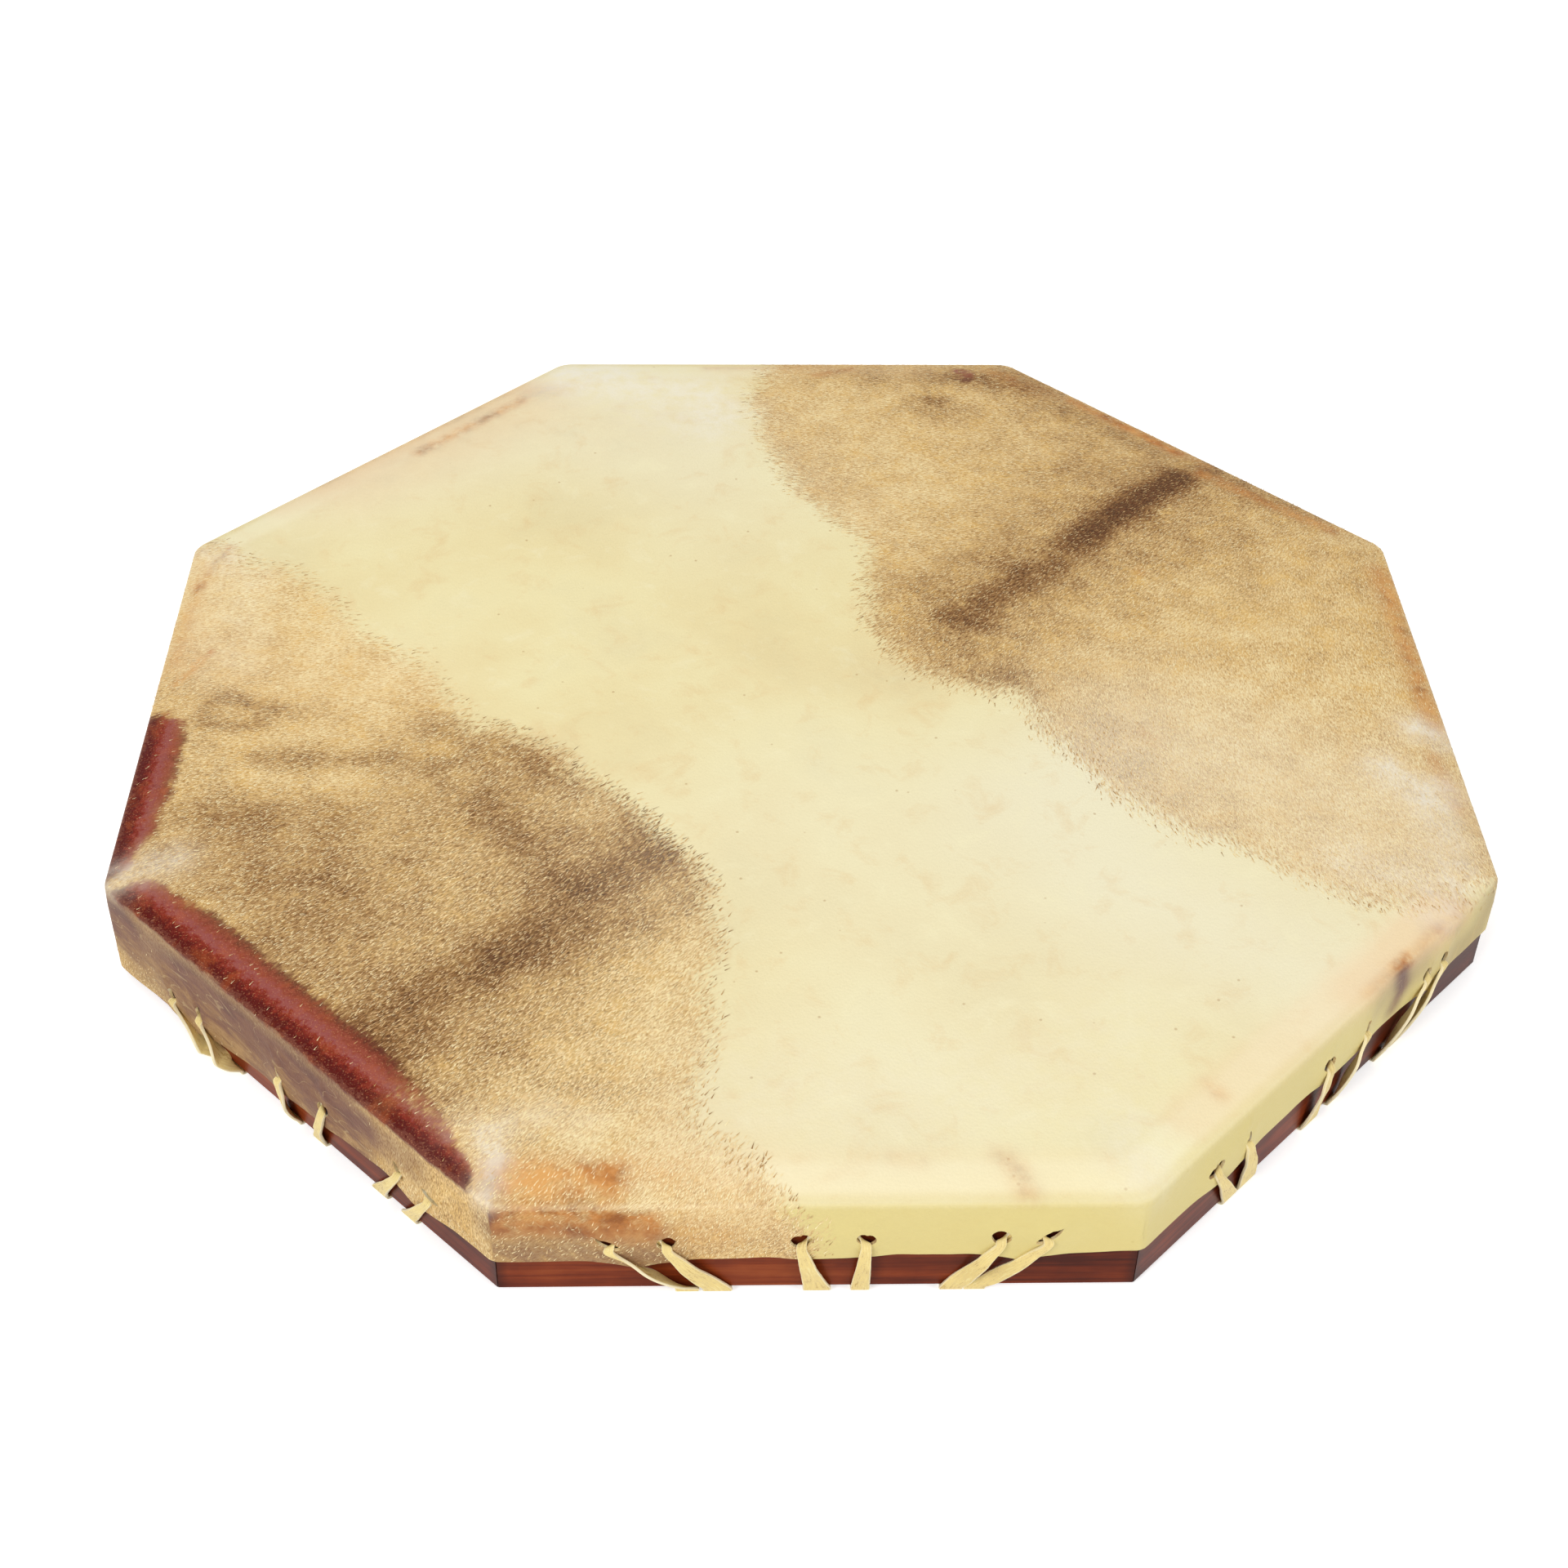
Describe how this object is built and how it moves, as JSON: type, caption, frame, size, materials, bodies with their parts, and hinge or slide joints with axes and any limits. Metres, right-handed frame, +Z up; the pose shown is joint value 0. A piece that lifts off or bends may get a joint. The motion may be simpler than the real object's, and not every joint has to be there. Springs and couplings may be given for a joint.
{
  "type": "octagonal frame drum",
  "caption": "Shallow octagonal hand drum: a mitred wooden frame with a stretched rawhide head, laced over the back and gripped by its bundled lacing.",
  "frame": {"origin": "on the surface that the drum lies on, under the centre of the head", "axes": "+Z up out of the head; the side with its lacing described as front faces -Y; the flats of four boards face +X, -X, +Y and -Y"},
  "size_m": [0.4648, 0.4648, 0.0426],
  "materials": {
    "stained_wood": "red-brown stain, wiped on and lightly sheened",
    "pale_wood": "plain sawn wood, unstained",
    "rawhide": "scraped rawhide, cream with areas of short brown hair, smooth and slightly glossy",
    "rawhide_lace": "cut rawhide thong, matt with a fuzzy flesh side",
    "wound_lace": "thin rawhide lace wound tight, matt"
  },
  "bodies": {
    "root": {"board_front": "stained_wood", "board_front_right": "stained_wood", "board_right": "stained_wood", "board_back_right": "stained_wood", "board_back": "stained_wood", "board_back_left": "stained_wood", "board_left": "stained_wood", "board_front_left": "stained_wood", "spline_front_to_front_right": "pale_wood", "spline_front_right_to_right": "pale_wood", "spline_right_to_back_right": "pale_wood", "spline_back_right_to_back": "pale_wood", "spline_back_to_back_left": "pale_wood", "spline_back_left_to_left": "pale_wood", "spline_left_to_front_left": "pale_wood", "spline_front_left_to_front": "pale_wood", "rawhide_head": "rawhide", "lace_front_1": "rawhide_lace", "lace_front_2": "rawhide_lace", "lace_front_3": "rawhide_lace", "lace_front_right_1": "rawhide_lace", "lace_front_right_2": "rawhide_lace", "lace_front_right_3": "rawhide_lace", "lace_right_1": "rawhide_lace", "lace_right_2": "rawhide_lace", "lace_right_3": "rawhide_lace", "lace_back_right_1": "rawhide_lace", "lace_back_right_2": "rawhide_lace", "lace_back_right_3": "rawhide_lace", "lace_back_1": "rawhide_lace", "lace_back_2": "rawhide_lace", "lace_back_3": "rawhide_lace", "lace_back_left_1": "rawhide_lace", "lace_back_left_2": "rawhide_lace", "lace_back_left_3": "rawhide_lace", "lace_left_1": "rawhide_lace", "lace_left_2": "rawhide_lace", "lace_left_3": "rawhide_lace", "lace_front_left_1": "rawhide_lace", "lace_front_left_2": "rawhide_lace", "lace_front_left_3": "rawhide_lace", "binding_front": "wound_lace", "binding_front_right": "wound_lace", "binding_right": "wound_lace", "binding_back_right": "wound_lace", "binding_back": "wound_lace", "binding_back_left": "wound_lace", "binding_left": "wound_lace", "binding_front_left": "wound_lace", "centre_knot": "wound_lace"}
  },
  "joints": []
}
